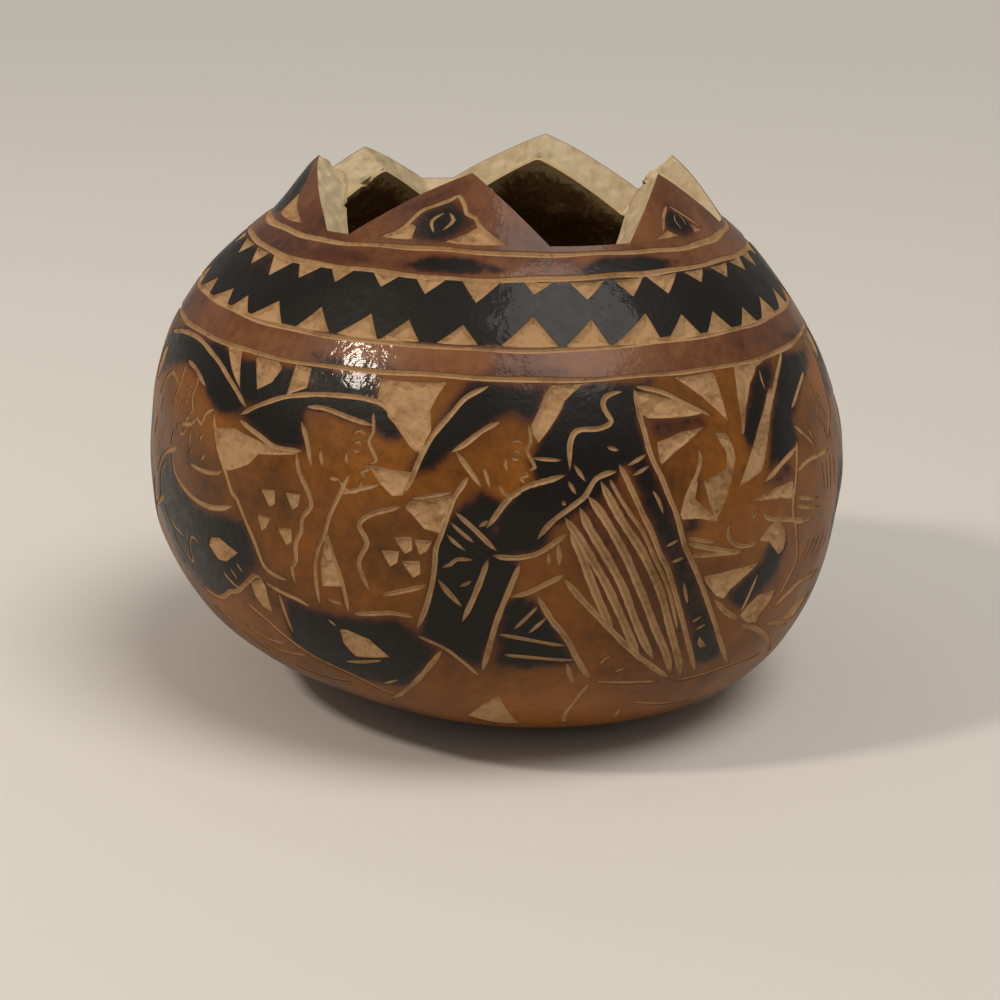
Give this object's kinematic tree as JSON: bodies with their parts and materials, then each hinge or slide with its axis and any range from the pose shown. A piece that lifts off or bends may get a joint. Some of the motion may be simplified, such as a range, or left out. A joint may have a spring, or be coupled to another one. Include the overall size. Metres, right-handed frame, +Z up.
{
  "type": "carved gourd bowl",
  "caption": "Round dried gourd cut open as a small standing bowl, with a zigzag toothed rim and carved and burnt bands and figures round its skin.",
  "frame": {"origin": "on the flat foot's plane, at the middle of the bounding box", "axes": "+Z up through the mouth, -Y towards the front of the picture frieze, +X to its right"},
  "size_m": [0.0962, 0.096, 0.0737],
  "materials": {
    "cut_wood": "bare, cut with a graver and knife",
    "dry_lining": "rough dried fibre",
    "scar_cork": "corky",
    "brown_rind": "polished, thin varnish",
    "varnished_rind": "glossy varnish",
    "burnt_rind": "burnt, satin varnish"
  },
  "bodies": {
    "root": {"woody_wall": "cut_wood", "pith_lining": "dry_lining", "blossom_scar": "scar_cork", "rind_base": "brown_rind", "rind_frieze_front": "brown_rind", "rind_frieze_front_right": "brown_rind", "rind_frieze_right": "brown_rind", "rind_frieze_back_right": "brown_rind", "rind_frieze_back": "brown_rind", "rind_frieze_back_left": "brown_rind", "rind_frieze_left": "brown_rind", "rind_frieze_front_left": "brown_rind", "rind_lower_band": "varnished_rind", "rind_zigzag_band": "burnt_rind", "rind_upper_band": "varnished_rind", "rind_tooth_front": "varnished_rind", "rind_tooth_front_right": "varnished_rind", "rind_tooth_right": "varnished_rind", "rind_tooth_back": "varnished_rind", "rind_tooth_back_left": "varnished_rind", "rind_tooth_left": "varnished_rind"}
  },
  "joints": []
}
